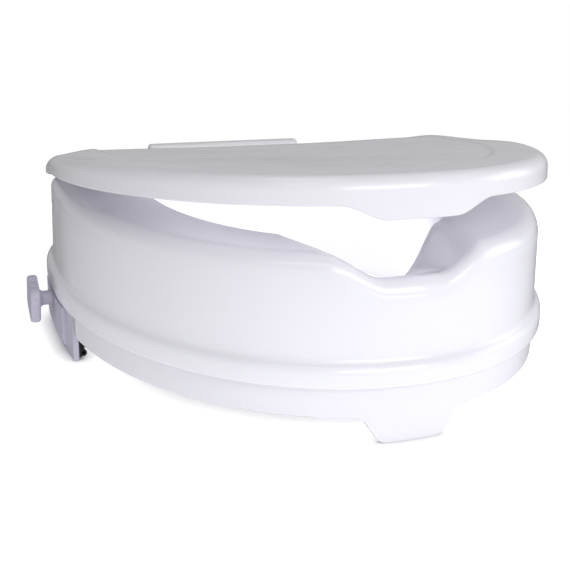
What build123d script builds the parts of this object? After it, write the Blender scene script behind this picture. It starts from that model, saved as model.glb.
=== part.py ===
"""Raised toilet seat, 100 mm raise, with a hinged lid and two side clamps.

Millimetres. +X is the user's left-to-right width, -Y is the front, +Z is up.
The pieces are drawn about the widest point of the outline and then moved back by
CENTRE_Y, so that the origin is on the floor under the middle of the whole part.
The lid is drawn closed and then turned to its resting, slightly raised angle.
"""
from build123d import *
import math
import os

os.makedirs("parts", exist_ok=True)

# ---------------------------------------------------------------- heights
PARTING_Z = 37.5            # line where the seat body sits on the base ring
SKIRT_HEIGHT = 20.0         # visible height of the base ring
BASE_Z = PARTING_Z - SKIRT_HEIGHT
RAISE = 100.0               # bowl rim to seat crest
SEAT_Z = BASE_Z + RAISE
REAR_DROP = 15.0            # the deck is lower at the back, under the hinge
BODY_DROP_START_Y = 50.0
LID_DROP_START_Y = 10.0
DROP_END_Y = 140.0

# ---------------------------------------------------------------- outline
HALF_WIDTH = 182.0
FRONT_LENGTH = 243.5
REAR_LENGTH = 175.0
FRONT_POWER = 2.06          # nearly an ellipse in front
REAR_POWER = 3.2            # squarer behind
OUTLINE_POINTS = 44
CENTRE_Y = (FRONT_LENGTH - REAR_LENGTH) / 2

HOLE_HALF_WIDTH = 108.0
HOLE_FRONT = 170.0
HOLE_REAR = 100.0
HOLE_POWER = 2.1

# ---------------------------------------------------------------- seat body
WALL = 3.0
SKIRT_OFFSET = -3.0         # base ring and foot of the wall, inside the outline
CREST_OFFSET = -5.0         # top of the tapered wall
BEAD_OFFSET = 2.0           # the bead stands outside the outline
BEAD_HEIGHT = 16.0
BEAD_TOP_RADIUS = 4.2
BEAD_FOOT_RADIUS = 2.5
SHOULDER_RADIUS = 12.0
ROOF_DEPTH = 7.5            # hollow stays this far below the deck
DISH_OFFSET = -28.0         # the deck falls from here to the hole
DISH_DEPTH = 4.0
RIB_FOOT_Z = PARTING_Z + 11.0
RIB_THICKNESS = 2.5
RIB_ANGLES = (25, 58, 90, 122, 155, 205, 230, 310, 335)

CHANNEL_FLOOR_OUT = SEAT_Z - 14.0
CHANNEL_FLOOR_IN = SEAT_Z - 36.0
CHANNEL_OUT_Y = -245.0
CHANNEL_IN_Y = -160.0

# ---------------------------------------------------------------- base ring
PLATE = 3.0
PLATE_Z = BASE_Z + PLATE
GROOVE_GAP = 0.5
RIM_UPSTAND_TOP = PARTING_Z + 7.0
UPSTAND_OUTER = -7.0        # the locating upstand fits inside the body's wall
UPSTAND_INNER = -9.3
TAB_TOP_HALF = 33.0
TAB_FOOT_HALF = 21.0
TAB_THICKNESS = 4.0
SCREW_ANGLES = (40, 75, 105, 140, 220, 246, 294, 320)
SCREW_RADIUS = 2.0
PILOT_RADIUS = 1.6
SCREW_HEAD_RADIUS = 4.0
SCREW_HEAD_HEIGHT = 2.6
BOSS_RADIUS = 5.5
BOSS_FOOT_Z = PLATE_Z + 6.0

# ---------------------------------------------------------------- hinge
AXIS_Y = 163.0
AXIS_Z = SEAT_Z - 5.0
BLOCK_HALF = 72.5
BLOCK_FRONT_Y = AXIS_Y - 9.5
BLOCK_REAR_Y = AXIS_Y + 10.0
BLOCK_TOP_Z = AXIS_Z + 11.0
PAD_TOP_Z = AXIS_Z - 7.0
BLOCK_WALL = 3.0
PIN_RADIUS = 3.0
PIN_CLEARANCE = 0.05
PIN_INNER_X = 60.0
PIN_OUTER_X = 84.0
BLOCK_SCREW_X = 30.0

# ---------------------------------------------------------------- lid
LID_HALF_WIDTH = 181.0
LID_FRONT = 242.5
LID_REAR = 167.0
LID_WALL = 3.0
LID_ROLL_RADIUS = 9.0
LID_RIM_Z = SEAT_Z - 1.0
LID_TOP_Z = SEAT_Z + 16.0
LID_RIM_DROP = 12.5
LID_TOP_DROP = 14.5
LIP_DEPTH = 9.0
LIP_FOOT_HALF = 22.0
LIP_ROOT_HALF = 50.0
NOTCH_HALF = BLOCK_HALF + 2.0
NOTCH_Y = AXIS_Y - 12.5
EAR_OUTER_X = 90.0
OPEN_ANGLE = 4.6            # resting angle above closed, degrees
BUMPER_RADIUS = 7.0
BUMPER_SPOTS = {"front": (112.0, -115.0), "rear": (143.0, 0.0)}

# ---------------------------------------------------------------- side clamps
CLAMP_Y = 14.0
CLAMP_Z = PARTING_Z - 6.0
CLAMP_HALF = 61.0           # half the bracket's width along Y
RIB_HALF = 44.0
ARM_OUTER = 2.3             # offsets of the arm's faces from the outline
ARM_MIDDLE = -1.2
ARM_INNER = -5.0
PAD_INNER = -7.5
RIDGE_INNER = -11.5
RIDGE_FOOT_Z = 5.0
RIDGE_PITCH = 6.5
RIDGE_HEIGHT = 5.6
RIB_FOOT = 7.0
RIB_CHAMFER = 2.4
TIP_RADIUS = 1.6
ARM_TOP_Z = PARTING_Z - 1.0
RAIL_CENTRES = (CLAMP_Y - 40.0, CLAMP_Y + 40.0)
RAIL_WIDTH = 16.0
RAIL_INNER_X = 140.0
RAIL_OUTER_X = 177.0        # inside the arm's thickness
GUIDE_INNER_X = 136.0
GUIDE_OUTER_X = 160.0
RAIL_Z = PLATE_Z + 0.4
RAIL_THICKNESS = 3.0
GUIDE_CLEARANCE = 0.3
SPINDLE_RADIUS = 4.0
SPINDLE_INNER_X = 136.0
GROOVE_RADIUS = 3.2
WASHER_RADIUS = 5.7         # small enough to pass under the seat body's wall
CLIP_RADIUS = 5.6
NUT_X = 157.0
NUT_LENGTH = 6.5
NUT_ACROSS_FLATS = 13.0
KNOB_INNER_X = 194.5
KNOB_THICKNESS = 7.6
KNOB_RADIUS = 18.4
KNOB_LOBE_RADIUS = 7.8
KNOB_WAIST_RADIUS = 15.0
KNOB_WAIST_FILLET = 4.0
KNOB_EDGE_FILLET = 2.2
KNOB_BORE_DEPTH = 5.6
KNOB_TURN = 21.7            # resting angle of the lobes, degrees
SLEEVE_RADIUS = 5.6


# ================================================================ helpers
def signed_power(value, power):
    """|value| raised to a power, with value's sign."""
    return math.copysign(abs(value) ** power, value)


def oval_points(half_width, front, rear, front_power, rear_power):
    """Points round a D-shaped superellipse, front and rear halves differing."""
    points = []
    for step in range(OUTLINE_POINTS):
        turn = 2 * math.pi * step / OUTLINE_POINTS
        across = round(math.cos(turn), 9)
        along = round(math.sin(turn), 9)
        power = front_power if along < 0 else rear_power
        length = front if along < 0 else rear
        points.append((half_width * signed_power(across, 2 / power),
                       length * signed_power(along, 2 / power)))
    return points


def seat_face(offset, z=0.0):
    """The seat's outline, moved out by offset, as a face at height z."""
    points = oval_points(HALF_WIDTH + offset, FRONT_LENGTH + offset,
                         REAR_LENGTH + offset, FRONT_POWER, REAR_POWER)
    return Pos(0, 0, z) * make_face(Spline(*points, periodic=True))


def hole_face(offset, z=0.0):
    """The outline of the hole in the seat."""
    points = oval_points(HOLE_HALF_WIDTH + offset, HOLE_FRONT + offset,
                         HOLE_REAR + offset, HOLE_POWER, HOLE_POWER)
    return Pos(0, 0, z) * make_face(Spline(*points, periodic=True))


def lid_face(offset, z=0.0):
    """The lid's outline."""
    points = oval_points(LID_HALF_WIDTH + offset, LID_FRONT + offset,
                         LID_REAR + offset, FRONT_POWER, REAR_POWER)
    return Pos(0, 0, z) * make_face(Spline(*points, periodic=True))


def column(face_maker, offset, low, high):
    """An upright prism of one of the outlines."""
    return extrude(face_maker(offset, low), amount=high - low)


def ring(outer, inner, low, high):
    """A band that follows the seat's outline."""
    return column(seat_face, outer, low, high) - column(seat_face, inner, low - 1, high + 1)


def block(x0, x1, y0, y1, z0, z1):
    """A box between two corners."""
    return Pos((x0 + x1) / 2, (y0 + y1) / 2, (z0 + z1) / 2) * Box(x1 - x0, y1 - y0, z1 - z0)


def upright(x, y, radius, low, high):
    """A vertical cylinder."""
    return Pos(x, y, (low + high) / 2) * Cylinder(radius, high - low)


def along_x(y, z, radius, x0, x1):
    """A cylinder along X."""
    return Pos((x0 + x1) / 2, y, z) * Rot(0, 90, 0) * Cylinder(radius, x1 - x0)


def under_curve(front_z, drop, start_y):
    """Everything below a surface that is level in front and steps down behind."""
    run = DROP_END_Y - start_y
    rear_z = front_z - drop
    reach = 400.0
    floor = -60.0
    step = Bezier((start_y, front_z), (start_y + run / 3, front_z),
                  (start_y + 2 * run / 3, rear_z), (DROP_END_Y, rear_z))
    loop = [
        Line((-reach, front_z), (start_y, front_z)),
        step,
        Line((DROP_END_Y, rear_z), (reach, rear_z)),
        Line((reach, rear_z), (reach, floor)),
        Line((reach, floor), (-reach, floor)),
        Line((-reach, floor), (-reach, front_z)),
    ]
    return extrude(Plane.YZ * make_face(Curve() + loop), amount=reach, both=True)


def under_deck(depth):
    """Everything more than a depth below the seat's deck."""
    return under_curve(SEAT_Z - depth, REAR_DROP, BODY_DROP_START_Y)


def under_lid_top(depth):
    """Everything more than a depth below the closed lid's upper face."""
    return under_curve(LID_TOP_Z - depth, LID_TOP_DROP, LID_DROP_START_Y)


def top_edges(solid, above):
    """Edges round the top of a solid, without the straight ones across it."""
    return [edge for edge in solid.edges()
            if edge.center().Z > above and edge.geom_type != GeomType.LINE]


def rounded_top(sides, cap, radius):
    """Sides cut off under a cap surface, with the edge between them rounded."""
    solid = sides & cap
    lowest_top = cap.bounding_box().max.Z - REAR_DROP - 5.0
    return fillet(top_edges(solid, lowest_top), radius)


def mirror_x(shape):
    """The same piece on the other side."""
    return mirror(shape, about=Plane.YZ)


def save(name, *pieces):
    """Write one node, with the origin under the middle of the part."""
    moved = [Pos(0, CENTRE_Y, 0) * piece for piece in pieces]
    shape = moved[0] if len(moved) == 1 else Compound(children=moved)
    export_step(shape, f"parts/{name}.step")


# ================================================================ seat body
def channel_cutter(grow):
    """The front opening: a trough that falls and widens towards the hole."""
    sections = []
    for y, floor, foot, top in ((CHANNEL_OUT_Y, CHANNEL_FLOOR_OUT, 21.0, 46.0),
                                (CHANNEL_IN_Y + 30, CHANNEL_FLOOR_IN - 7, 22.0, 57.0)):
        low = floor - grow
        high = SEAT_Z + 20.0
        slope = (top - foot) / (SEAT_Z - floor)
        reach = foot + grow + slope * (high - low)
        outline = Polyline((-foot - grow, low), (foot + grow, low), (reach, high), (-reach, high),
                           close=True)
        sections.append(Plane((0, y, 0), x_dir=(1, 0, 0), z_dir=(0, -1, 0)) * make_face(outline))
    return loft(sections, ruled=True)


def ring_spots(angles):
    """Places along the middle of the seat's ring."""
    spots = []
    for angle in angles:
        turn = math.radians(angle)
        length = 205.0 if turn > math.pi else 137.0
        spots.append((146.0 * math.cos(turn), length * math.sin(turn)))
    return spots


def make_seat_body():
    sides = loft([seat_face(SKIRT_OFFSET, PARTING_Z), seat_face(CREST_OFFSET, SEAT_Z + 5)])
    skin = rounded_top(sides, under_deck(0), SHOULDER_RADIUS)
    bead = column(seat_face, BEAD_OFFSET, PARTING_Z, PARTING_Z + BEAD_HEIGHT)
    bead = fillet(bead.edges().sort_by(Axis.Z)[-1:], BEAD_TOP_RADIUS)
    bead = fillet(bead.edges().sort_by(Axis.Z)[:1], BEAD_FOOT_RADIUS)
    foot = block(-BLOCK_HALF - 1, BLOCK_HALF + 1, BLOCK_FRONT_Y - 2, BLOCK_REAR_Y,
                 PAD_TOP_Z - 12, PAD_TOP_Z)
    skin = skin + bead + foot

    inner_sides = loft([seat_face(SKIRT_OFFSET - WALL, PARTING_Z - 20),
                        seat_face(CREST_OFFSET - WALL, SEAT_Z + 5)])
    hollow = inner_sides & under_deck(ROOF_DEPTH)
    hollow = hollow - column(hole_face, WALL, -10, SEAT_Z + 20)
    hollow = hollow - channel_cutter(4.0)

    hole = column(hole_face, 0.0, -10, SEAT_Z + 20)
    dish = loft([hole_face(-2.0, SEAT_Z - DISH_DEPTH - 0.5),
                 seat_face(DISH_OFFSET, SEAT_Z + 0.2)], ruled=True)
    inner_wall = column(hole_face, WALL, PLATE_Z, PARTING_Z + 2) - hole
    body = skin + inner_wall
    body = body - dish - hole - channel_cutter(0.0) - hollow

    for angle in RIB_ANGLES:
        rib = block(60, 260, -RIB_THICKNESS / 2, RIB_THICKNESS / 2, RIB_FOOT_Z, SEAT_Z)
        body = body + (Rot(0, 0, angle) * rib & hollow)
    for x, y in ring_spots(SCREW_ANGLES):
        body = body + (upright(x, y, BOSS_RADIUS, BOSS_FOOT_Z, SEAT_Z) & hollow)
        body = body - upright(x, y, PILOT_RADIUS, BOSS_FOOT_Z - 1, BOSS_FOOT_Z + 18)
    for x in (-BLOCK_SCREW_X, BLOCK_SCREW_X):
        y = (BLOCK_FRONT_Y + BLOCK_REAR_Y) / 2
        body = body - upright(x, y, SCREW_RADIUS + 0.2, 60, PAD_TOP_Z + 1)
        body = body - upright(x, y, SCREW_HEAD_RADIUS + 0.5, 60, PAD_TOP_Z - 8)
    return body


# ================================================================ base ring
def tab_profile():
    """Front view of the tab that hangs from the base ring."""
    half_band = 60.0
    corners = [(-half_band, BASE_Z + 2), (-half_band, BASE_Z), (-TAB_TOP_HALF, BASE_Z),
               (-TAB_FOOT_HALF, 0), (TAB_FOOT_HALF, 0), (TAB_TOP_HALF, BASE_Z),
               (half_band, BASE_Z), (half_band, BASE_Z + 2)]
    face = make_face(Polyline(*corners, close=True))
    inner = [v for v in face.vertices() if abs(v.X) < half_band - 1]
    return fillet(inner, 7.5)


def clamp_window():
    """The opening in the right side of the base ring that the clamp works in."""
    gap = GUIDE_CLEARANCE + 0.5
    low = -10
    high = RIM_UPSTAND_TOP + 1
    window = block(100, 200, CLAMP_Y - CLAMP_HALF - gap, CLAMP_Y + CLAMP_HALF + gap, low, high)
    return window - column(seat_face, RIDGE_INNER - 0.8, low - 1, high + 1)


def guide_rails():
    """Channels on the plate that the right bracket's rails slide in."""
    rails = None
    for offset in RAIL_CENTRES:
        half = RAIL_WIDTH / 2
        body = block(GUIDE_INNER_X, GUIDE_OUTER_X, offset - half - 3, offset + half + 3,
                     PLATE_Z - 1, RAIL_Z + RAIL_THICKNESS + 2.4)
        slot = block(120, 190, offset - half - GUIDE_CLEARANCE, offset + half + GUIDE_CLEARANCE,
                     PLATE_Z, RAIL_Z + RAIL_THICKNESS + GUIDE_CLEARANCE)
        guide = body - slot
        rails = guide if rails is None else rails + guide
    return rails


def nut_holder():
    """Pocket on the plate that keeps the right clamp nut from turning."""
    half = NUT_ACROSS_FLATS / 2 + 3
    holder = block(NUT_X - 3, NUT_X + NUT_LENGTH + 3, CLAMP_Y - half, CLAMP_Y + half,
                   PLATE_Z - 1, CLAMP_Z + 6)
    pocket = block(NUT_X - 0.2, NUT_X + NUT_LENGTH + 0.2,
                   CLAMP_Y - NUT_ACROSS_FLATS / 2 - 0.1, CLAMP_Y + NUT_ACROSS_FLATS / 2 + 0.1,
                   CLAMP_Z - 7.6, CLAMP_Z + 20)
    return holder - pocket - along_x(CLAMP_Y, CLAMP_Z, SPINDLE_RADIUS + 0.5, 140, 180)


def make_base_ring():
    skirt = column(seat_face, SKIRT_OFFSET, BASE_Z, PARTING_Z - GROOVE_GAP)
    skirt = fillet(skirt.edges().sort_by(Axis.Z)[:1], 1.5)
    base = skirt - column(seat_face, SKIRT_OFFSET - WALL, PLATE_Z, PARTING_Z + 10)
    base = base + ring(UPSTAND_OUTER, UPSTAND_INNER, PLATE_Z - 1, RIM_UPSTAND_TOP)
    base = base - column(hole_face, 0.0, -10, 100)

    tab_prism = extrude(Plane.XZ * tab_profile(), amount=300)
    base = base + (ring(SKIRT_OFFSET, SKIRT_OFFSET - TAB_THICKNESS, 0, BASE_Z + 2) & tab_prism)

    window = clamp_window()
    furniture = guide_rails() + nut_holder()
    base = base - window - mirror_x(window)
    base = base + furniture + mirror_x(furniture)
    for x, y in ring_spots(SCREW_ANGLES):
        base = base + upright(x, y, BOSS_RADIUS + 1, PLATE_Z - 1, BOSS_FOOT_Z)
        base = base - upright(x, y, SCREW_RADIUS + 0.2, 0, BOSS_FOOT_Z + 1)
        base = base - upright(x, y, SCREW_HEAD_RADIUS + 0.4, 0, BASE_Z + SCREW_HEAD_HEIGHT + 0.6)
    return base


def make_screw(x, y, head_z, length):
    """A pan-head screw pointing up, head at the bottom, with a cross recess."""
    head = upright(x, y, SCREW_HEAD_RADIUS, head_z - SCREW_HEAD_HEIGHT, head_z)
    head = fillet(head.edges().sort_by(Axis.Z)[:1], 1.2)
    shank = upright(x, y, SCREW_RADIUS, head_z, head_z + length)
    screw = head + chamfer(shank.edges().sort_by(Axis.Z)[-1:], 1.0)
    for turn in (0, 90):
        bar = Pos(x, y, head_z - SCREW_HEAD_HEIGHT) * Rot(0, 0, turn) * Box(4.4, 0.9, 2.4)
        screw = screw - bar
    return screw


def make_rim_pad(low_y, high_y):
    """Right-hand rubber pad under the plate, where the seat rests on the bowl."""
    pad = ring(-22, -40, BASE_Z - 2.2, BASE_Z)
    pad = pad & block(0, 200, low_y, high_y, 0, 50)
    return fillet(pad.edges().group_by(Axis.Z)[0], 0.8)


# ================================================================ hinge
def make_hinge_block():
    bar = block(-BLOCK_HALF, BLOCK_HALF, BLOCK_FRONT_Y, BLOCK_REAR_Y, PAD_TOP_Z, BLOCK_TOP_Z)
    long_top = [e for e in bar.edges().filter_by(Axis.X) if e.center().Z > AXIS_Z]
    bar = fillet(long_top, 8.5)
    ends = [e for e in bar.edges() if abs(abs(e.center().X) - BLOCK_HALF) < 0.1
            and e.center().Z > PAD_TOP_Z + 1]
    bar = fillet(ends, 2.5)
    middle_y = (BLOCK_FRONT_Y + BLOCK_REAR_Y) / 2
    cavity = block(-PIN_INNER_X, PIN_INNER_X, BLOCK_FRONT_Y + BLOCK_WALL,
                   BLOCK_REAR_Y - BLOCK_WALL, PAD_TOP_Z - 1, BLOCK_TOP_Z - BLOCK_WALL)
    bar = bar - cavity
    for x in (-BLOCK_SCREW_X, BLOCK_SCREW_X):
        bar = bar + upright(x, middle_y, 5.0, PAD_TOP_Z, BLOCK_TOP_Z - BLOCK_WALL + 0.5)
        bar = bar - upright(x, middle_y, PILOT_RADIUS, PAD_TOP_Z - 1, PAD_TOP_Z + 11)
    return bar - along_x(AXIS_Y, AXIS_Z, PIN_RADIUS, -BLOCK_HALF - 1, BLOCK_HALF + 1)


def make_hinge_pin():
    """Right-hand pin: its head stays inside the hinge block."""
    shaft = along_x(AXIS_Y, AXIS_Z, PIN_RADIUS, PIN_INNER_X - 2, PIN_OUTER_X)
    shaft = chamfer(shaft.edges().sort_by(Axis.X)[-1:], 0.8)
    return shaft + along_x(AXIS_Y, AXIS_Z, 4.5, PIN_INNER_X - 2.6, PIN_INNER_X - 0.1)


# ================================================================ lid
def lip_prism():
    """Front view of the lid's lip, which drops into the front opening."""
    foot_z = LID_RIM_Z - LIP_DEPTH
    side = (LIP_ROOT_HALF - LIP_FOOT_HALF) / 2.2
    right = Bezier((LIP_FOOT_HALF, foot_z), (LIP_FOOT_HALF + side, foot_z),
                   (LIP_ROOT_HALF - side, LID_RIM_Z), (LIP_ROOT_HALF, LID_RIM_Z))
    left = Bezier((-LIP_FOOT_HALF, foot_z), (-LIP_FOOT_HALF - side, foot_z),
                  (-LIP_ROOT_HALF + side, LID_RIM_Z), (-LIP_ROOT_HALF, LID_RIM_Z))
    loop = [
        Line((-LIP_FOOT_HALF, foot_z), (LIP_FOOT_HALF, foot_z)),
        right,
        Line((LIP_ROOT_HALF, LID_RIM_Z), (LIP_ROOT_HALF, LID_RIM_Z + 1)),
        Line((LIP_ROOT_HALF, LID_RIM_Z + 1), (-LIP_ROOT_HALF, LID_RIM_Z + 1)),
        Line((-LIP_ROOT_HALF, LID_RIM_Z + 1), (-LIP_ROOT_HALF, LID_RIM_Z)),
        left,
    ]
    return extrude(Plane.XZ * make_face(Curve() + loop), amount=300)


def open_lid(shape):
    """Turn a piece drawn on the closed lid to the lid's resting angle."""
    return shape.rotate(Axis((0, AXIS_Y, AXIS_Z), (-1, 0, 0)), OPEN_ANGLE)


def make_lid():
    low = LID_RIM_Z - LID_RIM_DROP - 20
    outer = rounded_top(column(lid_face, 0.0, low, LID_TOP_Z + 20),
                        under_lid_top(0), LID_ROLL_RADIUS)
    below_rim = under_curve(LID_RIM_Z, LID_RIM_DROP, LID_DROP_START_Y) - lip_prism()
    outer = outer - below_rim
    hollow = rounded_top(column(lid_face, -LID_WALL, low, LID_TOP_Z + 20),
                         under_lid_top(LID_WALL), LID_ROLL_RADIUS - LID_WALL)
    ears = block(-EAR_OUTER_X, EAR_OUTER_X, NOTCH_Y - 0.5, 200, 0, 200)
    notch_wall = block(-NOTCH_HALF - LID_WALL, NOTCH_HALF + LID_WALL, NOTCH_Y - LID_WALL, 200,
                       0, 200)
    lid = outer - (hollow - ears - notch_wall)
    lid = lid - block(-NOTCH_HALF, NOTCH_HALF, NOTCH_Y, 200, 0, 200)
    for side in (-1, 1):
        ends = sorted((side * (NOTCH_HALF - 1), side * (PIN_OUTER_X + 1)))
        lid = lid - along_x(AXIS_Y, AXIS_Z, PIN_RADIUS + PIN_CLEARANCE, *ends)
    return open_lid(lid)


def make_bumper(spot):
    """Right-hand rubber buffer under the lid."""
    x, y = BUMPER_SPOTS[spot]
    bumper = upright(x, y, BUMPER_RADIUS, SEAT_Z + 0.5, LID_TOP_Z - LID_WALL)
    return open_lid(fillet(bumper.edges().sort_by(Axis.Z)[:1], 2.0))


# ================================================================ side clamps
def long_edges_at(solid, z):
    """The long edges of a solid that lie at height z."""
    return [e for e in solid.edges() if abs(e.center().Z - z) < 0.1 and e.length > 50]


def clamp_slice(half):
    """The part of the right side within half a width of the clamp's middle."""
    return block(100, 200, CLAMP_Y - half, CLAMP_Y + half, -1, 60)


def make_bracket():
    """Right bracket: an arm down the side of the bowl, on two sliding rails."""
    plate = ring(ARM_MIDDLE + 0.1, ARM_INNER, 0, ARM_TOP_Z) & clamp_slice(CLAMP_HALF)
    plate = fillet(long_edges_at(plate, 0), TIP_RADIUS)
    rib = ring(ARM_OUTER, ARM_MIDDLE, RIB_FOOT, ARM_TOP_Z) & clamp_slice(RIB_HALF)
    outer_edge = sorted(long_edges_at(rib, RIB_FOOT), key=lambda e: e.center().X)[-1:]
    arm = plate + chamfer(outer_edge, RIB_CHAMFER)
    for offset in RAIL_CENTRES:
        arm = arm + block(RAIL_INNER_X, RAIL_OUTER_X, offset - RAIL_WIDTH / 2, offset + RAIL_WIDTH / 2,
                          RAIL_Z, RAIL_Z + RAIL_THICKNESS)
    return arm - along_x(CLAMP_Y, CLAMP_Z, SPINDLE_RADIUS + 0.15, 150, 200)


def make_grip_pad():
    """Right rubber pad: a strip with three rounded ridges facing the bowl."""
    width = clamp_slice(CLAMP_HALF - 2)
    pad = ring(ARM_INNER, PAD_INNER, 1.5, RAIL_Z - 0.6) & width
    for step in range(3):
        middle = RIDGE_FOOT_Z + step * RIDGE_PITCH
        ridge = ring(PAD_INNER + 0.5, RIDGE_INNER, middle - RIDGE_HEIGHT / 2,
                     middle + RIDGE_HEIGHT / 2) & width
        inner_edges = [e for e in ridge.edges() if e.length > 50]
        inner_edges = sorted(inner_edges, key=lambda e: e.center().X)[:2]
        pad = pad + fillet(inner_edges, RIDGE_HEIGHT / 2 - 0.2)
    return pad


def make_knob():
    """Right hand knob: four rounded lobes on a tapered hub."""
    reach = KNOB_RADIUS - KNOB_LOBE_RADIUS
    plan = Circle(KNOB_WAIST_RADIUS)
    for turn in range(4):
        angle = math.radians(45 + 90 * turn)
        plan = plan + Pos(reach * math.cos(angle), reach * math.sin(angle)) * Circle(KNOB_LOBE_RADIUS)
    plan = fillet(plan.vertices(), KNOB_WAIST_FILLET)
    head = Pos(0, 0, -KNOB_THICKNESS / 2) * extrude(plan, amount=KNOB_THICKNESS)
    rims = head.edges().group_by(Axis.Z)
    head = fillet(rims[0] + rims[-1], KNOB_EDGE_FILLET)
    head = Rot(0, 90, 0) * Rot(0, 0, KNOB_TURN) * head
    head = Pos(KNOB_INNER_X + KNOB_THICKNESS / 2, CLAMP_Y, CLAMP_Z) * head
    hub = Pos(KNOB_INNER_X - 1.2, CLAMP_Y, CLAMP_Z) * Rot(0, 90, 0) \
        * Cone(SLEEVE_RADIUS, SLEEVE_RADIUS + 2.4, 3.0)
    sleeve = along_x(CLAMP_Y, CLAMP_Z, SLEEVE_RADIUS, HALF_WIDTH + ARM_OUTER + 0.1, KNOB_INNER_X + 1)
    bore = along_x(CLAMP_Y, CLAMP_Z, SPINDLE_RADIUS, 170, KNOB_INNER_X + KNOB_BORE_DEPTH)
    return head + hub + sleeve - bore


def make_spindle():
    """Right clamp screw, its thread drawn as a plain rod with a clip groove."""
    rod = along_x(CLAMP_Y, CLAMP_Z, SPINDLE_RADIUS, SPINDLE_INNER_X,
                  KNOB_INNER_X + KNOB_BORE_DEPTH)
    rod = chamfer(rod.edges().sort_by(Axis.X)[:1], 0.8)
    inner_face = HALF_WIDTH + ARM_INNER
    groove = along_x(CLAMP_Y, CLAMP_Z, 6, inner_face - 2.5, inner_face - 1.5) \
        - along_x(CLAMP_Y, CLAMP_Z, GROOVE_RADIUS, inner_face - 3, inner_face - 1)
    return rod - groove


def make_nut():
    """Right captive nut."""
    nut = extrude(RegularPolygon(NUT_ACROSS_FLATS / 2, 6, major_radius=False), NUT_LENGTH)
    nut = nut - Cylinder(SPINDLE_RADIUS + 0.05, 4 * NUT_LENGTH)
    return Pos(NUT_X, CLAMP_Y, CLAMP_Z) * Rot(0, 90, 0) * nut


def make_washer():
    """Right washer between the bracket and the retaining clip."""
    inner_face = HALF_WIDTH + ARM_INNER
    disc = along_x(CLAMP_Y, CLAMP_Z, WASHER_RADIUS, inner_face - 1.5, inner_face - 0.3)
    return disc - along_x(CLAMP_Y, CLAMP_Z, SPINDLE_RADIUS + 0.1, 160, 190)


def make_clip():
    """Right E-shaped retaining clip in the spindle's groove."""
    inner_face = HALF_WIDTH + ARM_INNER
    disc = along_x(CLAMP_Y, CLAMP_Z, CLIP_RADIUS, inner_face - 2.4, inner_face - 1.6)
    disc = disc - along_x(CLAMP_Y, CLAMP_Z, GROOVE_RADIUS, 160, 190)
    return disc - block(160, 190, CLAMP_Y - 2.6, CLAMP_Y + 2.6, CLAMP_Z - 10, CLAMP_Z)


# ================================================================ write it out
save("seat_body", make_seat_body())
save("base_ring", make_base_ring())
save("base_screws", *[make_screw(x, y, BASE_Z + SCREW_HEAD_HEIGHT + 0.6, 20.0)
                      for x, y in ring_spots(SCREW_ANGLES)])
save("hinge_block", make_hinge_block())
save("hinge_block_screws", *[make_screw(x, (BLOCK_FRONT_Y + BLOCK_REAR_Y) / 2, PAD_TOP_Z - 8, 18.0)
                             for x in (-BLOCK_SCREW_X, BLOCK_SCREW_X)])
save("lid", make_lid())

SIDED = {
    "hinge_pin": make_hinge_pin(),
    "lid_bumper_front": make_bumper("front"),
    "lid_bumper_rear": make_bumper("rear"),
    "rim_pad_front": make_rim_pad(-150, -95),
    "rim_pad_rear": make_rim_pad(75, 125),
    "clamp_bracket": make_bracket(),
    "grip_pad": make_grip_pad(),
    "clamp_knob": make_knob(),
    "clamp_spindle": make_spindle(),
    "clamp_nut": make_nut(),
    "clamp_washer": make_washer(),
    "retaining_clip": make_clip(),
}
for name, shape in SIDED.items():
    save(f"{name}_right", shape)
    save(f"{name}_left", mirror_x(shape))
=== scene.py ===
"""Looks for the raised toilet seat: a white moulded seat, its lid and two side clamps.

Lengths are in millimetres in the drawing functions and in metres in Blender.
Pieces are drawn about the widest point of the outline, then moved back by CENTRE_Y,
because the frame's origin is under the middle of the whole part.
"""
import bpy
import math
import numpy as np
from mathutils import Matrix, Vector


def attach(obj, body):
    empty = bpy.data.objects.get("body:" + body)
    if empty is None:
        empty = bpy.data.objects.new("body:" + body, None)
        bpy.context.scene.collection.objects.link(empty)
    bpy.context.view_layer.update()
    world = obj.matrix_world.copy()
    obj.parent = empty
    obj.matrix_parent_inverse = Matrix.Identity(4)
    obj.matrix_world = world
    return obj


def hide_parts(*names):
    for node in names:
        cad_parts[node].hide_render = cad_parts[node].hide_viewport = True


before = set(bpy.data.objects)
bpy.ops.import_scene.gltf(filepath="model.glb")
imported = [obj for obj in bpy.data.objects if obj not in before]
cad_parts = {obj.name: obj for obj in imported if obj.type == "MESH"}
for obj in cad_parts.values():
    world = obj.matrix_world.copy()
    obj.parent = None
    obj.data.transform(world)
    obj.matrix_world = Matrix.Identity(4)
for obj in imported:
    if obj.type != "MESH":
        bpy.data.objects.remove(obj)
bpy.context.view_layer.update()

MM = 0.001

# ---------------------------------------------------------------- shared sizes
HALF_WIDTH = 182.0
FRONT_LENGTH = 243.5
REAR_LENGTH = 175.0
FRONT_POWER = 2.06
REAR_POWER = 3.2
CENTRE_Y = (FRONT_LENGTH - REAR_LENGTH) / 2
HOLE = (108.0, 170.0, 100.0, 2.1)    # half-width, front, rear and power of its outline

PARTING_Z = 37.5
PLATE_Z = 20.5
SEAT_Z = 117.5
REAR_DROP = 15.0
BODY_DROP_START_Y = 50.0
LID_DROP_START_Y = 10.0
DROP_END_Y = 140.0

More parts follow.
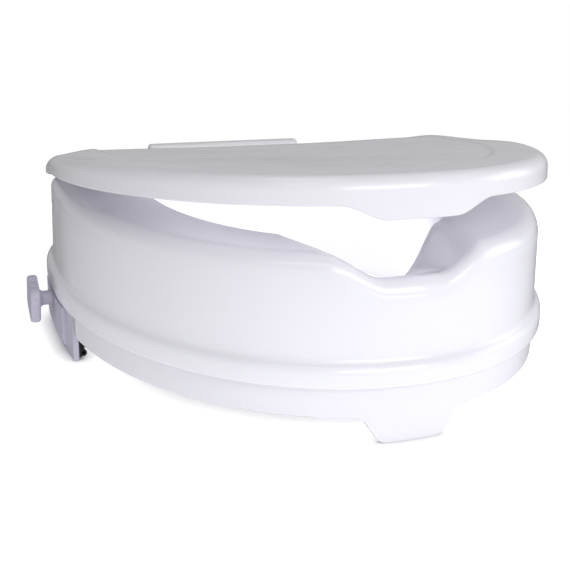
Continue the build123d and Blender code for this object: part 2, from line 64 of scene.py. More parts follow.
FOOT_OFFSET = -3.0
CREST_OFFSET = -5.0
BEAD_OFFSET = 2.0
BEAD_FOOT_RADIUS = 2.5
BEAD_TOP_RADIUS = 8.0
BEAD_TOP_Z = PARTING_Z + 8.5
BEAD_FILLET_RADIUS = 6.1     # blends the bead into the wall above it
BEAD_FILLET_CENTRE = (2.69, PARTING_Z + 19.6)
WALL_START_Z = PARTING_Z + 20.0
WALL_TOP_Z = SEAT_Z + 5.0    # where the wall's taper would reach CREST_OFFSET
WALL_BLEND = 10.0            # distance between the two outlines that the wall lies between
SHOULDER = 12.0
REAR_SHOULDER = 6.0
SHOULDER_FADE = 80.0         # distance behind the widest point over which the shoulder shrinks
SHELL = 4.0
HOLE_LIP = 6.0               # rounding of the hole's upper edge
HOLE_WALL = 3.0
DISH_DEPTH = 4.0
DISH_FADE_Y = -20.0          # from here to the back the dish fades out
DISH_FADE = 110.0

CHANNEL_FRONT_Y = -245.0
CHANNEL_RUN = 115.0          # distance over which the channel widens
CHANNEL_FOOT = (17.0, 20.0)  # half-width of its floor, in front and at its inner end
CHANNEL_BRINK = (51.0, 62.0) # half-width between its upper edges, the same
CHANNEL_DEPTH = 14.0
CHANNEL_FALL_Y = -232.0      # from here its floor slopes down towards the hole
CHANNEL_FALL_RUN = 110.0
CHANNEL_SLOPE = 0.30
CHANNEL_END_Y = -60.0

LID = (181.0, 242.5, 167.0)  # half-width, front and rear of its outline
LID_RIM_Z = 116.5
LID_TOP_Z = 133.5
LID_RIM_DROP = 12.5
LID_TOP_DROP = 14.5
LID_WALL = 3.0
LID_ROLL = 9.0
UNDER_ROLL = 6.0
MARGIN_INSET = 33.0          # inner edge of the plain margin round the lid
PANEL_INSET = 35.0
PANEL_STEP = 5.0             # width of the slope down to the panel
PANEL_DEPTH = 1.3
FIELD_INSET = 44.0
BELLY_INSET = 40.0           # from here to the middle the lid sinks a little
BELLY_RUN = 120.0
BELLY_DEPTH = 2.2
CORNER_DROP = 4.5            # how much lower the rear corners are at the edge
CORNER_INSET = 38.0          # how far in from the edge they reach
CORNER_Y = (-90.0, 20.0)     # where they set in, and where they are complete
CORNER_X = (80.0, 130.0)
LID_HEART_INSET = 170.0
LID_HEART = (0.0, -40.0)     # where the rows of the lid's mesh close up
LID_HEART_SHARE = 0.985      # how near the last row comes to it
LIP_DEPTH = 9.0
LIP_FOOT_HALF = 22.0
LIP_ROOT_HALF = 50.0
NOTCH_HALF = 74.5
NOTCH_Y = 150.5
EAR_OUTER_X = 90.0
EAR_TIP = 3.0                # width of the ear's end between its roundings
EAR_TIP_BLEND = 2.6
EAR_ROOT_BLEND = 2.2
EAR_DEPTH = 3.5              # how far the ear's solid part reaches in from the notch
EAR_FADE = 2.5
RING_REAR_HALF = NOTCH_HALF + 12.0
AXIS_Y = 163.0
AXIS_Z = 112.5
OPEN_ANGLE = 4.6

CLAMP_Y = 14.0
PAD_HALF = 59.0
STRIP_OUTER = -5.05
STRIP_INNER = -7.5
STRIP_LOW_Z = 1.6
STRIP_HIGH_Z = 20.2
STRIP_CHAMFER = 0.6
STRIP_MIDDLE = (-6.3, 11.0)
RIDGE_HEIGHTS = (5.0, 11.5, 18.0)
RIDGE_OFFSET = -8.75
RIDGE_RADIUS = 2.72
RIDGE_EDGE = 2.45
RIDGE_BORE = 1.45


# ================================================================ number helpers
def smooth(t):
    """Smoothstep from 0 to 1."""
    t = np.clip(t, 0.0, 1.0)
    return t * t * (3 - 2 * t)


def mix(a, b, t):
    return a + (b - a) * t


def oval(turns, half_width, front, rear, front_power, rear_power):
    """Points at the given angles round a D-shaped superellipse."""
    across = np.cos(turns)
    along = np.sin(turns)
    power = np.where(along < 0, front_power, rear_power)
    length = np.where(along < 0, front, rear)
    x = half_width * np.sign(across) * np.abs(across) ** (2 / power)
    y = length * np.sign(along) * np.abs(along) ** (2 / power)
    return np.stack([x, y], 1)


def spread_turns(count, start, end):
    """Angles that space points evenly round the outline, closer together in front."""
    fine = np.linspace(start, end, 20001)
    points = oval(fine, HALF_WIDTH, FRONT_LENGTH, REAR_LENGTH, FRONT_POWER, REAR_POWER)
    step = np.linalg.norm(np.diff(points, axis=0), axis=1)
    middle = (points[1:] + points[:-1]) / 2
    front_weight = np.exp(-(middle[:, 0] / 95.0) ** 2) * (middle[:, 1] < 0)
    travelled = np.concatenate([[0.0], np.cumsum(step * (1 + 1.6 * front_weight))])
    wanted = np.linspace(0.0, travelled[-1], count)
    return np.interp(wanted, travelled, fine)


def arc(centre, radius, start, end, count):
    """(offset, z) pairs along an arc; angles in degrees from the outward direction."""
    angles = np.radians(np.linspace(start, end, count))
    return [(centre[0] + radius * math.cos(a), centre[1] + radius * math.sin(a)) for a in angles]


# ================================================================ mesh helpers
def make_object(name, points, faces):
    """A smooth-shaded mesh object from points in millimetres."""
    mesh = bpy.data.meshes.new(name)
    placed = (np.asarray(points) + np.array([0.0, CENTRE_Y, 0.0])) * MM
    mesh.from_pydata(placed.tolist(), [], faces)
    mesh.validate()
    mesh.polygons.foreach_set("use_smooth", [True] * len(mesh.polygons))
    mesh.set_sharp_from_angle(angle=math.radians(38))
    mesh.update()
    obj = bpy.data.objects.new(name, mesh)
    bpy.context.scene.collection.objects.link(obj)
    return obj


def grid_faces(rows, columns, wrap_rows, first=0):
    """Quads between rows of points that each run round a closed loop."""
    faces = []
    for r in range(rows if wrap_rows else rows - 1):
        below = first + r * columns
        above = first + ((r + 1) % rows) * columns
        for c in range(columns):
            after = (c + 1) % columns
            faces.append((below + c, below + after, above + after, above + c))
    return faces


def row(points_2d, z):
    """Points of one row with their heights."""
    heights = np.broadcast_to(np.asarray(z, float), (len(points_2d),))
    return np.column_stack([points_2d, heights])


# ================================================================ seat body
def seat_outline(turns, offset):
    return oval(turns, HALF_WIDTH + offset, FRONT_LENGTH + offset, REAR_LENGTH + offset,
                FRONT_POWER, REAR_POWER)


def hole_outline(turns, offset):
    half_width, front, rear, power = HOLE
    return oval(turns, half_width + offset, front + offset, rear + offset, power, power)


def deck_height(points):
    """Height of the seat's deck, with the drop at the back and the channel in front."""
    x = np.abs(points[:, 0])
    y = points[:, 1]
    drop = REAR_DROP * smooth((y - BODY_DROP_START_Y) / (DROP_END_Y - BODY_DROP_START_Y))
    top = SEAT_Z - drop
    inward = np.clip((y - CHANNEL_FRONT_Y) / CHANNEL_RUN, 0.0, 1.0)
    foot = mix(*CHANNEL_FOOT, inward)
    brink = mix(*CHANNEL_BRINK, inward)
    fall = CHANNEL_SLOPE * np.clip(y - CHANNEL_FALL_Y, 0.0, CHANNEL_FALL_RUN)
    floor = SEAT_Z - CHANNEL_DEPTH - fall
    rise = np.clip((x - foot) / (brink - foot), 0.0, 1.0) ** mix(1.0, 1.25, inward)
    channel = mix(floor, top, smooth(rise))
    return np.where(y < CHANNEL_END_Y, channel, top)


def wall_offset(z):
    """Offset of the tapered outer wall at height z."""
    return FOOT_OFFSET + (CREST_OFFSET - FOOT_OFFSET) * (z - PARTING_Z) / (WALL_TOP_Z - PARTING_Z)


def bead_section():
    """(offset, z) points from under the seat's foot, round the bead and up to the wall."""
    section = [(-6.0, PARTING_Z), (-2.4, PARTING_Z), (-0.9, PARTING_Z + 0.05)]
    section += arc((BEAD_OFFSET - BEAD_FOOT_RADIUS, PARTING_Z + BEAD_FOOT_RADIUS),
                   BEAD_FOOT_RADIUS, -80, 0, 7)
    section += [(BEAD_OFFSET, PARTING_Z + 5.5), (BEAD_OFFSET, PARTING_Z + 8.0)]
    section += arc((BEAD_OFFSET - BEAD_TOP_RADIUS, BEAD_TOP_Z), BEAD_TOP_RADIUS, 4, 52, 8)
    section += arc(BEAD_FILLET_CENTRE, BEAD_FILLET_RADIUS, 226, 184, 7)
    return section


def wall_rows(turns, crest, radius):
    """Rows up the outer wall and over the shoulder."""
    rim = seat_outline(turns, 0.0)
    inside = seat_outline(turns, -WALL_BLEND)
    rows = []
    for step in np.linspace(0.0, 1.0, 10):
        z = mix(WALL_START_Z, crest - radius, step)
        share = (-wall_offset(z) / WALL_BLEND)[:, None]
        rows.append(row(mix(rim, inside, share), z))
    for angle in np.radians(np.linspace(0, 90, 16)[1:]):
        points = seat_outline(turns, CREST_OFFSET - radius * (1 - math.cos(angle)))
        top = mix(crest, deck_height(points), math.sin(angle) ** 2)
        rows.append(row(points, top - radius * (1 - math.sin(angle))))
    return rows


def deck_rows(turns, crest_ring):
    """Rows in from the shoulder, over the dished deck to the hole."""
    lip_ring = hole_outline(turns, HOLE_LIP)
    rows = []
    for step in np.linspace(0.0, 1.0, 44)[1:]:
        points = mix(crest_ring, lip_ring, step)
        front = 1 - smooth((points[:, 1] - DISH_FADE_Y) / DISH_FADE)
        dish = DISH_DEPTH * step ** 1.4 * front
        rows.append(row(points, deck_height(points) - dish))
    return rows


def hole_rows(turns, edge):
    """Rows over the hole's rounded edge and down its wall."""
    rows = []
    for angle in np.radians(np.linspace(0, 90, 9)[1:]):
        points = hole_outline(turns, HOLE_LIP * (1 - math.sin(angle)))
        rows.append(row(points, edge - HOLE_LIP * (1 - math.cos(angle))))
    hole_ring = hole_outline(turns, 0.0)
    for step in np.linspace(0.0, 1.0, 9)[1:]:
        rows.append(row(hole_ring, mix(edge - HOLE_LIP, PLATE_Z, step)))
    return rows


def hollow_rows(turns, edge, crest_ring, crest, radius):
    """Rows up behind the hole's wall, out under the deck and down inside the outer wall."""
    back_of_wall = hole_outline(turns, HOLE_WALL)
    back_of_lip = hole_outline(turns, HOLE_WALL + HOLE_LIP)
    rows = [row(back_of_wall, PLATE_Z), row(back_of_wall, edge - HOLE_LIP - SHELL),
            row(back_of_lip, edge - SHELL - 1)]
    for step in np.linspace(0.0, 1.0, 24)[1:]:
        points = mix(back_of_lip, crest_ring, step)
        rows.append(row(points, deck_height(points) - SHELL - DISH_DEPTH))
    inner = radius - SHELL
    for angle in np.radians(np.linspace(80, 0, 6)):
        points = seat_outline(turns, CREST_OFFSET - radius + inner * math.cos(angle))
        rows.append(row(points, crest - radius + inner * math.sin(angle) - 3))
    rows.append(row(seat_outline(turns, -6.5), WALL_START_Z))
    return rows


def make_seat_body():
    """The seat's closed skin, drawn as rows that run once round its section."""
    turns = spread_turns(641, -math.pi, math.pi)[:-1]
    wall_top = seat_outline(turns, CREST_OFFSET)
    crest = deck_height(wall_top)
    radius = mix(SHOULDER, REAR_SHOULDER, smooth(wall_top[:, 1] / SHOULDER_FADE))
    crest_ring = seat_outline(turns, CREST_OFFSET - radius)
    rows = [row(seat_outline(turns, offset), z) for offset, z in bead_section()]
    rows += wall_rows(turns, crest, radius)
    rows += deck_rows(turns, crest_ring)
    edge = rows[-1][:, 2]
    rows += hole_rows(turns, edge)
    rows += hollow_rows(turns, edge, crest_ring, crest, radius)
    faces = grid_faces(len(rows), len(turns), True)
    return make_object("Seat_Shell", np.concatenate(rows), faces)


# ================================================================ lid
def lid_oval(turns, inset):
    return oval(turns, LID[0] - inset, LID[1] - inset, LID[2] - inset, FRONT_POWER, REAR_POWER)


def turn_at(x, inset):
    """Angle at which the rear half of the inset outline reaches x on the right."""
    return math.acos((x / (LID[0] - inset)) ** (REAR_POWER / 2))


def rounded_corner(before, corner, after, radius, count):
    """Points of a blend that replaces a corner between two straight runs."""
    before, corner, after = np.array(before), np.array(corner), np.array(after)
    back = (before - corner) / np.linalg.norm(before - corner)
    ahead = (after - corner) / np.linalg.norm(after - corner)
    start = corner + back * radius
    end = corner + ahead * radius
    t = np.linspace(0.0, 1.0, count)[:, None]
    return (1 - t) ** 2 * start + 2 * t * (1 - t) * corner + t ** 2 * end


LID_SWEEP = 560
NOTCH_POINTS = 61


def lid_outline(inset):
    """One row of the lid: round the front from ear to ear, then along the hinge notch."""
    ear_x = NOTCH_HALF + inset
    notch_y = NOTCH_Y - inset
    last = turn_at(ear_x + EAR_TIP, inset)
    turns = spread_turns(LID_SWEEP, last - 2 * math.pi + (math.pi - 2 * last), last)
    sweep = lid_oval(turns, inset)
    tip_y = lid_oval(np.array([turn_at(ear_x, inset)]), inset)[0, 1]
    tip = (ear_x, tip_y)
    root = (ear_x, notch_y)
    outer = rounded_corner(sweep[-1], tip, root, EAR_TIP_BLEND, 6)[1:]
    inner = rounded_corner(tip, root, (0.0, notch_y), EAR_ROOT_BLEND, 6)
    right = np.concatenate([outer, inner])
    across = np.linspace(right[-1, 0], -right[-1, 0], NOTCH_POINTS)[1:-1]
    middle = np.column_stack([across, np.full(len(across), notch_y)])
    left = right[::-1] * np.array([-1.0, 1.0])
    return np.concatenate([sweep, right, middle, left])


def lid_inner_ring(inset):
    """A smooth ring well inside the lid, with its points matched to lid_outline."""
    ear_turn = turn_at(RING_REAR_HALF, inset)
    turns = spread_turns(LID_SWEEP, ear_turn - 2 * math.pi + (math.pi - 2 * ear_turn), ear_turn)
    rest = len(lid_outline(0.0)) - LID_SWEEP
    behind = np.linspace(ear_turn, math.pi - ear_turn, rest + 2)[1:-1]
    return lid_oval(np.concatenate([turns, behind]), inset)


def lid_drop(y, amount):
    return amount * smooth((y - LID_DROP_START_Y) / (DROP_END_Y - LID_DROP_START_Y))


def rim_height(points):
    """Lower edge of the lid: level, lower behind, with the lip in front."""
    x = np.abs(points[:, 0])
    y = points[:, 1]
    lip = LIP_DEPTH * smooth((LIP_ROOT_HALF - x) / (LIP_ROOT_HALF - LIP_FOOT_HALF))
    return LID_RIM_Z - lid_drop(y, LID_RIM_DROP) - np.where(y < 0, lip, 0.0)


def top_height(points, inset):
    """Upper face of the lid: level, lower behind and at its rear corners, with a shallow panel."""
    x = np.abs(points[:, 0])
    y = points[:, 1]
    panel = PANEL_DEPTH * smooth((inset - PANEL_INSET) / PANEL_STEP)
    belly = BELLY_DEPTH * smooth((inset - BELLY_INSET) / BELLY_RUN)
    corner = smooth((y - CORNER_Y[0]) / (CORNER_Y[1] - CORNER_Y[0]))
    corner *= smooth((x - CORNER_X[0]) / (CORNER_X[1] - CORNER_X[0]))
    corner *= CORNER_DROP * (1 - smooth(inset / CORNER_INSET))
    return LID_TOP_Z - lid_drop(y, LID_TOP_DROP) - panel - belly - corner


def lid_top_rows(rim, shoulder, roll_end, ring):
    """Rows from the lid's rim up its side, round the roll and over the top."""
    outline = lid_outline(0.0)
    rows = [row(lid_outline(LID_WALL - 0.6), rim), row(lid_outline(1.0), rim),
            row(lid_outline(0.3), rim + 0.3)]
    for step in np.linspace(0.0, 1.0, 9):
        rows.append(row(outline, mix(rim + 1.0, shoulder, step)))
    for angle in np.radians(np.linspace(0, 90, 15)[1:]):
        inset = LID_ROLL * (1 - math.cos(angle))
        points = lid_outline(inset)
        level = mix(top_height(outline, 0.0), top_height(points, inset), math.sin(angle) ** 2)
        rows.append(row(points, level - LID_ROLL * (1 - math.sin(angle))))
    for step in np.linspace(0.0, 1.0, 11)[1:]:
        points = mix(roll_end, ring, step)
        rows.append(row(points, top_height(points, mix(LID_ROLL, MARGIN_INSET, step))))
    for inset in np.linspace(MARGIN_INSET, FIELD_INSET, 13)[1:]:
        points = lid_inner_ring(inset)
        rows.append(row(points, top_height(points, inset)))
    last = lid_inner_ring(FIELD_INSET)
    for step in np.linspace(0.0, LID_HEART_SHARE, 42)[1:]:
        points = mix(last, np.array(LID_HEART), step)
        rows.append(row(points, top_height(points, mix(FIELD_INSET, LID_HEART_INSET, step))))
    return rows


def lid_under_rows(rim, shoulder, roll_end, ring):
    """Rows from the lid's rim up inside it and under the top, solid at the ears."""
    inner = lid_outline(LID_WALL)
    rows = [row(inner, rim + 0.6), row(inner, shoulder)]
    for angle in np.radians((30, 60, 90)):
        points = lid_outline(LID_WALL + UNDER_ROLL * (1 - math.cos(angle)))
        rows.append(row(points, shoulder + UNDER_ROLL * math.sin(angle)))
    for step in np.linspace(0.0, 1.0, 9)[1:]:
        points = mix(roll_end, ring, step)
        level = top_height(points, mix(LID_ROLL, MARGIN_INSET, step))
        rows.append(row(points, level - LID_WALL))
    for step in np.linspace(0.0, LID_HEART_SHARE, 26)[1:]:
        points = mix(ring, np.array(LID_HEART), step)
        level = top_height(points, mix(FIELD_INSET, LID_HEART_INSET, step))
        rows.append(row(points, level - LID_WALL))
    for line in rows[1:]:
        solid = smooth((EAR_OUTER_X + EAR_FADE - np.abs(line[:, 0])) / EAR_FADE)
        solid *= smooth((line[:, 1] - NOTCH_Y + EAR_DEPTH) / EAR_FADE)
        low = rim_height(line[:, :2]) + 0.6
        line[:, 2] = mix(line[:, 2], low, solid)
    return rows


def make_lid():
    """The lid's closed skin, from the heart underneath to the heart on top, at its rest angle."""
    outline = lid_outline(0.0)
    rim = rim_height(outline)
    shoulder = top_height(outline, 0.0) - LID_ROLL
    roll_end = lid_outline(LID_ROLL)
    ring = lid_inner_ring(MARGIN_INSET)
    under = lid_under_rows(rim, shoulder, roll_end, ring)
    rows = under[::-1] + lid_top_rows(rim, shoulder, roll_end, ring)
    columns = len(outline)
    points = np.concatenate(rows)
    faces = grid_faces(len(rows), columns, False)
    middles = [(*LID_HEART, points[0, 2]), (*LID_HEART, points[-1, 2])]
    bottom = len(points)
    edge = (len(rows) - 1) * columns
    for c in range(columns):
        after = (c + 1) % columns
        faces.append((bottom, after, c))
        faces.append((bottom + 1, edge + c, edge + after))
    lid = make_object("Lid_Shell", np.concatenate([points, middles]), faces)
    axis = Vector((0.0, (AXIS_Y + CENTRE_Y) * MM, AXIS_Z * MM))
    swing = Matrix.Rotation(math.radians(-OPEN_ANGLE), 4, "X")
    lid.data.transform(Matrix.Translation(axis) @ swing @ Matrix.Translation(-axis))
    return lid


# ================================================================ grip pads
def side_x(y, offset):
    """Half-width of the seat's outline at y."""
    length = np.where(y < 0, FRONT_LENGTH + offset, REAR_LENGTH + offset)
    power = np.where(y < 0, FRONT_POWER, REAR_POWER)
    return (HALF_WIDTH + offset) * (1 - np.abs(y / length) ** power) ** (1 / power)


def pad_loop(profile, y, side):
    """A closed (offset, z) profile placed at y on one side."""
    return [(side * float(side_x(np.array(y), offset)), y, z) for offset, z in profile]


def add_loops(points, faces, loops, side):
    """Append a closed run of equal loops to a mesh that is being built."""
    first = len(points)
    count = len(loops[0])
    for loop in loops:
        points.extend(loop)
    made = grid_faces(len(loops), count, True, first)
    faces.extend(made if side > 0 else [face[::-1] for face in made])


def make_grip_pad(name, side):
    """Rubber strip with three hollow ribs that bear on the bowl."""
    points = []
    faces = []
    low_y = CLAMP_Y - PAD_HALF
    high_y = CLAMP_Y + PAD_HALF
    stations = np.linspace(low_y, high_y, 25)
    chamfer_start = STRIP_INNER + STRIP_CHAMFER
    strip = [(STRIP_OUTER, STRIP_LOW_Z), (STRIP_OUTER, STRIP_HIGH_Z),
             (chamfer_start, STRIP_HIGH_Z), (STRIP_INNER, STRIP_HIGH_Z - STRIP_CHAMFER),
             (STRIP_INNER, STRIP_LOW_Z + STRIP_CHAMFER), (chamfer_start, STRIP_LOW_Z)]
    shrunk = [(mix(STRIP_MIDDLE[0], offset, 0.02), mix(STRIP_MIDDLE[1], z, 0.02))
              for offset, z in strip]
    loops = [pad_loop(shrunk, low_y, side)]
    loops += [pad_loop(strip, y, side) for y in stations]
    loops += [pad_loop(shrunk, high_y, side)]
    add_loops(points, faces, loops, side)
    for middle in RIDGE_HEIGHTS:
        outer = arc((RIDGE_OFFSET, middle), RIDGE_RADIUS, 360, 0, 25)[:-1]
        bore = arc((RIDGE_OFFSET, middle), RIDGE_BORE, 360, 0, 25)[:-1]
        edge = arc((RIDGE_OFFSET, middle), RIDGE_EDGE, 360, 0, 25)[:-1]
        loops = [pad_loop(bore, low_y + 0.1, side), pad_loop(edge, low_y + 0.02, side)]
        loops += [pad_loop(outer, y, side) for y in np.linspace(low_y + 0.4, high_y - 0.4, 25)]
        loops += [pad_loop(edge, high_y - 0.02, side), pad_loop(bore, high_y - 0.1, side)]
        loops += [pad_loop(bore, y, side) for y in np.linspace(high_y - 1, low_y + 1, 12)]
        add_loops(points, faces, loops, side)
    return make_object(name, points, faces)


# ================================================================ materials
def new_material(name):
    material = bpy.data.materials.new(name)
    material.use_nodes = True
    nodes = material.node_tree.nodes
    return material, nodes, material.node_tree.links, nodes["Principled BSDF"]


def noise(nodes, links, scale, detail=3.0, stretch=(1.0, 1.0, 1.0)):
    """Noise in the object's own coordinates; scale is in features per metre."""
    place = nodes.new("ShaderNodeTexCoord")
    mapping = nodes.new("ShaderNodeMapping")
    mapping.inputs["Scale"].default_value = stretch
    texture = nodes.new("ShaderNodeTexNoise")
    texture.inputs["Scale"].default_value = scale
    texture.inputs["Detail"].default_value = detail
    links.new(place.outputs["Object"], mapping.inputs["Vector"])
    links.new(mapping.outputs["Vector"], texture.inputs["Vector"])
    return texture.outputs["Fac"]


def remap(nodes, links, value, low, high, to_low, to_high):
    """Map one range of a value to another, clamped."""
    node = nodes.new("ShaderNodeMapRange")
    node.inputs["From Min"].default_value = low
    node.inputs["From Max"].default_value = high
    node.inputs["To Min"].default_value = to_low
    node.inputs["To Max"].default_value = to_high
    links.new(value, node.inputs["Value"])
    return node.outputs["Result"]


def join(nodes, links, operation, first, second):
    node = nodes.new("ShaderNodeMath")
    node.operation = operation
    links.new(first, node.inputs[0])
    if isinstance(second, float):
        node.inputs[1].default_value = second
    else:
        links.new(second, node.inputs[1])
    return node.outputs["Value"]


def tint(nodes, links, factor, light, dark):
    node = nodes.new("ShaderNodeMix")
    node.data_type = "RGBA"
    node.inputs["A"].default_value = (*light, 1.0)
    node.inputs["B"].default_value = (*dark, 1.0)
    links.new(factor, node.inputs["Factor"])
    return node.outputs["Result"]


def bump(nodes, links, height, distance, strength, shader):
    node = nodes.new("ShaderNodeBump")
    node.inputs["Distance"].default_value = distance
    node.inputs["Strength"].default_value = strength
    links.new(height, node.inputs["Height"])
    links.new(node.outputs["Normal"], shader.inputs["Normal"])


def moulded_plastic(name, light, dark, rough, scuff, peel, coat=0.0):
    """Moulded plastic: slight colour drift, orange peel, hairline scuffs and handling wear."""
    material, nodes, links, shader = new_material(name)
    drift = remap(nodes, links, noise(nodes, links, 9.0, 4.0), 0.35, 0.7, 0.0, 1.0)
    links.new(tint(nodes, links, drift, light, dark), shader.inputs["Base Color"])
    cloud = remap(nodes, links, noise(nodes, links, 22.0, 5.0), 0.3, 0.7, rough[0], rough[1])
    hairs = noise(nodes, links, 60.0, 6.0, (1.0, 14.0, 3.0))
    marks = remap(nodes, links, hairs, 0.66, 0.74, 0.0, scuff)
    links.new(join(nodes, links, "ADD", cloud, marks), shader.inputs["Roughness"])
    grain = noise(nodes, links, 420.0, 2.0)
    bump(nodes, links, grain, 0.0002, peel, shader)
    shader.inputs["IOR"].default_value = 1.5
    shader.inputs["Coat Weight"].default_value = coat
    shader.inputs["Coat Roughness"].default_value = 0.08
    return material


def rubber(name, light, dark, grain_scale):
    """Matt moulded rubber with a fine grain and dusty wear."""
    material, nodes, links, shader = new_material(name)
    dust = remap(nodes, links, noise(nodes, links, 130.0, 6.0), 0.5, 0.75, 0.0, 1.0)
    links.new(tint(nodes, links, dust, light, dark), shader.inputs["Base Color"])
    links.new(remap(nodes, links, noise(nodes, links, 60.0, 4.0), 0.3, 0.7, 0.42, 0.68),
              shader.inputs["Roughness"])
    bump(nodes, links, noise(nodes, links, grain_scale, 3.0), 0.0003, 0.35, shader)
    return material


def steel(name, light, dark, rough, line_stretch):
    """Plated steel with drawn lines and dull patches."""
    material, nodes, links, shader = new_material(name)
    patch = remap(nodes, links, noise(nodes, links, 90.0, 5.0), 0.4, 0.7, 0.0, 1.0)
    links.new(tint(nodes, links, patch, light, dark), shader.inputs["Base Color"])
    shader.inputs["Metallic"].default_value = 1.0
    links.new(remap(nodes, links, noise(nodes, links, 200.0, 4.0, line_stretch), 0.3, 0.7, *rough),
              shader.inputs["Roughness"])
    bump(nodes, links, noise(nodes, links, 900.0, 2.0, line_stretch), 0.0001, 0.2, shader)
    return material


seat_white = moulded_plastic("Seat_White", (0.900, 0.895, 0.945), (0.885, 0.880, 0.932),
                             (0.11, 0.17), 0.06, 0.03)
base_white = moulded_plastic("Base_White", (0.860, 0.855, 0.905), (0.842, 0.837, 0.890),
                             (0.13, 0.20), 0.07, 0.04)
lid_white = moulded_plastic("Lid_White", (0.905, 0.898, 0.945), (0.892, 0.884, 0.932),
                            (0.13, 0.19), 0.04, 0.03)
hinge_white = moulded_plastic("Hinge_White", (0.91, 0.905, 0.93), (0.89, 0.885, 0.91),
                              (0.28, 0.38), 0.15, 0.08)
acetal = moulded_plastic("Acetal", (0.82, 0.82, 0.82), (0.78, 0.78, 0.77),
                         (0.30, 0.42), 0.10, 0.06)
nylon = moulded_plastic("Clamp_Nylon", (0.56, 0.535, 0.64), (0.53, 0.505, 0.605),
                        (0.36, 0.48), 0.12, 0.25)
black_rubber = rubber("Black_Rubber", (0.020, 0.019, 0.024), (0.075, 0.072, 0.082), 700.0)
soft_rubber = rubber("Soft_Rubber", (0.60, 0.60, 0.61), (0.50, 0.50, 0.50), 500.0)
zinc = steel("Zinc_Steel", (0.62, 0.62, 0.64), (0.50, 0.50, 0.50), (0.25, 0.42), (1.0, 1.0, 1.0))
stainless = steel("Stainless_Steel", (0.66, 0.66, 0.67), (0.56, 0.56, 0.57),
                  (0.18, 0.35), (12.0, 1.0, 1.0))

NODE_MATERIALS = {
    "base_ring": base_white,
    "hinge_block": hinge_white,
    "hinge_pin": acetal,
    "lid_bumper": soft_rubber,
    "rim_pad": soft_rubber,
    "clamp_bracket": nylon,
    "clamp_knob": nylon,
    "clamp_spindle": stainless,
    "base_screws": zinc,
    "hinge_block_screws": zinc,
    "clamp_nut": zinc,
    "clamp_washer": zinc,
    "retaining_clip": zinc,
}


def paint(obj, material):
    obj.data.materials.clear()
    obj.data.materials.append(material)


# ================================================================ put together
seat_body = make_seat_body()
paint(seat_body, seat_white)
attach(seat_body, "seat")
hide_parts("seat_body")

lid = make_lid()
paint(lid, lid_white)
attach(lid, "lid_body")
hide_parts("lid")

for side_name, side in (("left", -1), ("right", 1)):
    pad = make_grip_pad("Grip_Pad_" + side_name, side)
    paint(pad, black_rubber)
    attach(pad, "bracket_" + side_name)
    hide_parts("grip_pad_" + side_name)

replaced = ("seat_body", "lid", "grip_pad_left", "grip_pad_right")
for node_name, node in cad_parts.items():
    if node_name in replaced:
        continue
    matches = [key for key in NODE_MATERIALS if node_name.startswith(key)]
    paint(node, NODE_MATERIALS[max(matches, key=len)])


# ================================================================ studio
STAGE_SIDES = 96
TABLE_Z = -0.0002
TABLE_RADIUS = 0.55
FAR_RADIUS = 6.0
BACKDROP_FOOT_Z = -0.01
BACKDROP_TOP_Z = 2.0
FOOTPRINT = (0.182, 0.211)   # half-width and half-length of the shaded patch of table


def circle(radius, z):
    """Points of a level circle about the middle of the part, in metres."""
    turns = [2 * math.pi * step / STAGE_SIDES for step in range(STAGE_SIDES)]
    return [(radius * math.cos(turn), radius * math.sin(turn), z) for turn in turns]


def make_stage(name, first, second, filled):
    """A stage piece between two circles of points; filled also closes the first circle."""
    faces = []
    for k in range(STAGE_SIDES):
        after = (k + 1) % STAGE_SIDES
        faces.append((k, STAGE_SIDES + k, STAGE_SIDES + after, after))
    if filled:
        faces.append(tuple(range(STAGE_SIDES)))
    mesh = bpy.data.meshes.new(name)
    mesh.from_pydata(first + second, [], faces)
    obj = bpy.data.objects.new(name, mesh)
    bpy.context.scene.collection.objects.link(obj)
    return obj


def near_floor_material():
    """White table that glows round the part, with painted shade under the part's footprint and a
    painted contact shadow close to what stands on it.
    """
    material, nodes, links, shader = new_material("Table_White")
    shader.inputs["Base Color"].default_value = (0.50, 0.50, 0.51, 1.0)
    shader.inputs["Roughness"].default_value = 0.9
    shader.inputs["Specular IOR Level"].default_value = 0.1
    # painted contact shadow: ambient occlusion dims the table's glow close to what stands on it
    near = nodes.new("ShaderNodeAmbientOcclusion")
    near.samples = 16
    near.inputs["Distance"].default_value = 0.013
    painted_contact_shadow = remap(nodes, links, near.outputs["AO"], 0.15, 0.95, 0.10, 1.0)
    place = nodes.new("ShaderNodeTexCoord")
    squeeze = nodes.new("ShaderNodeVectorMath")
    squeeze.operation = "MULTIPLY"
    squeeze.inputs[1].default_value = (1 / FOOTPRINT[0], 1 / FOOTPRINT[1], 0.0)
    length = nodes.new("ShaderNodeVectorMath")
    length.operation = "LENGTH"
    links.new(place.outputs["Object"], squeeze.inputs[0])
    links.new(squeeze.outputs["Vector"], length.inputs[0])
    # painted shade under the part: the table's glow is faint inside its footprint and rises beside
    # it
    footprint_shaded_glow = remap(nodes, links, length.outputs["Value"], 0.62, 0.88, 0.04, 0.80)
    beyond = remap(nodes, links, length.outputs["Value"], 1.25, 2.20, 0.0, 0.27)
    open_floor = join(nodes, links, "ADD", footprint_shaded_glow, beyond)
    shader.inputs["Emission Color"].default_value = (1.0, 1.0, 1.0, 1.0)
    links.new(join(nodes, links, "MULTIPLY", painted_contact_shadow, open_floor),
              shader.inputs["Emission Strength"])
    return material


def far_floor_material():
    """The same table further out, where it only shows as a white background."""
    material, nodes, links, shader = new_material("Table_Far")
    shader.inputs["Base Color"].default_value = (0.02, 0.02, 0.02, 1.0)
    shader.inputs["Roughness"].default_value = 0.9
    shader.inputs["Specular IOR Level"].default_value = 0.0
    shader.inputs["Emission Color"].default_value = (1.0, 1.0, 1.0, 1.0)
    shader.inputs["Emission Strength"].default_value = 1.0
    return material


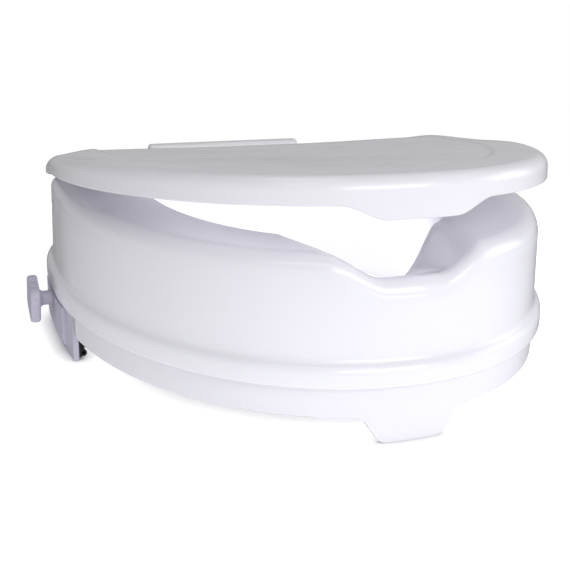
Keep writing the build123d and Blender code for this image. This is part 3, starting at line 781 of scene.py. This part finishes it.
def make_world():
    """Dim all round, a little brighter near the horizon."""
    world = bpy.data.worlds.new("Studio")
    bpy.context.scene.world = world
    world.use_nodes = True
    nodes = world.node_tree.nodes
    links = world.node_tree.links
    place = nodes.new("ShaderNodeTexCoord")
    parts = nodes.new("ShaderNodeSeparateXYZ")
    links.new(place.outputs["Generated"], parts.inputs["Vector"])
    height = remap(nodes, links, parts.outputs["Z"], -1.0, 1.0, 0.0, 1.0)
    ramp = nodes.new("ShaderNodeValToRGB")
    steps = ramp.color_ramp.elements
    for spot, level in ((0.45, 0.18), (0.50, 0.50), (0.62, 0.46), (0.90, 0.14)):
        step = steps.new(spot)
        step.color = (level, level, level * 1.02, 1.0)
    steps[0].color = (0.18, 0.18, 0.18, 1.0)
    steps[-1].color = (0.08, 0.08, 0.08, 1.0)
    links.new(height, ramp.inputs["Fac"])
    links.new(ramp.outputs["Color"], nodes["Background"].inputs["Color"])
    nodes["Background"].inputs["Strength"].default_value = 1.0


def add_area(name, place, target, size, power, colour=(1.0, 1.0, 1.0)):
    """A soft rectangular light, in metres and watts, aimed at a target."""
    light = bpy.data.lights.new(name, "AREA")
    light.shape = "RECTANGLE"
    light.size, light.size_y = size
    light.energy = power
    light.color = colour
    obj = bpy.data.objects.new(name, light)
    obj.location = place
    aim = Vector(target) - Vector(place)
    obj.rotation_mode = "QUATERNION"
    obj.rotation_quaternion = aim.to_track_quat("-Z", "Y")
    obj.visible_camera = False
    bpy.context.scene.collection.objects.link(obj)
    return obj


table_edge = circle(TABLE_RADIUS, TABLE_Z)
near_floor = make_stage("Table_Near", circle(0.001, TABLE_Z), table_edge, True)
near_floor.data.materials.append(near_floor_material())
near_floor.visible_glossy = False
far_white = far_floor_material()
far_floor = make_stage("Table_Far", table_edge, circle(FAR_RADIUS, TABLE_Z), False)
backdrop = make_stage("Backdrop", circle(FAR_RADIUS, BACKDROP_TOP_Z),
                      circle(FAR_RADIUS, BACKDROP_FOOT_Z), False)
for obj in (far_floor, backdrop):
    obj.data.materials.append(far_white)
    obj.visible_diffuse = False
    obj.visible_glossy = False
make_world()
add_area("Key", (0.22, -1.55, 0.86), (0.0, 0.0, 0.06), (1.3, 0.7), 12.6, (0.97, 0.97, 1.0))
add_area("Top_Panel", (-0.15, 0.05, 1.35), (0.0, 0.0, 0.10), (0.9, 0.45), 1.6)
add_area("Right_Fill", (1.25, -0.25, 0.50), (0.12, 0.0, 0.10), (0.8, 0.6), 2.8)
add_area("Strip", (-0.35, -0.95, 1.45), (0.0, 0.0, 0.10), (1.5, 0.12), 3.4)
bounce = add_area("Hole_Light", (0.0, -0.045, 0.050), (0.0, 0.235, 0.040), (0.16, 0.05), 0.19)
bounce.visible_glossy = False

# ================================================================ camera
AZIMUTH = math.radians(-20.04)
ELEVATION = math.radians(16.58)
ROLL = math.radians(0.87)
DISTANCE = 0.8113
back = Vector((math.sin(AZIMUTH) * math.cos(ELEVATION),
               -math.cos(AZIMUTH) * math.cos(ELEVATION), math.sin(ELEVATION)))
right = Vector((math.cos(AZIMUTH), math.sin(AZIMUTH), 0.0))
up = back.cross(right)
rolled_right = math.cos(ROLL) * right + math.sin(ROLL) * up
rolled_up = math.cos(ROLL) * up - math.sin(ROLL) * right

camera_data = bpy.data.cameras.new("Camera")
camera_data.sensor_width = 36.0
camera_data.lens = 62.0
camera_data.shift_x = 0.00714
camera_data.shift_y = -0.018
camera_data.clip_start = 0.01
camera_data.clip_end = 50.0
camera = bpy.data.objects.new("Camera", camera_data)
aim_point = Vector((0.0, CENTRE_Y * MM, PARTING_Z * MM))
turned = Matrix((rolled_right, rolled_up, back)).transposed().to_4x4()
camera.matrix_world = Matrix.Translation(aim_point + back * DISTANCE) @ turned
bpy.context.scene.collection.objects.link(camera)
bpy.context.scene.camera = camera

bpy.context.scene.view_settings.view_transform = "Standard"
bpy.context.scene.view_settings.look = "None"
bpy.context.scene.view_settings.exposure = 0.0

bpy.context.view_layer.update()
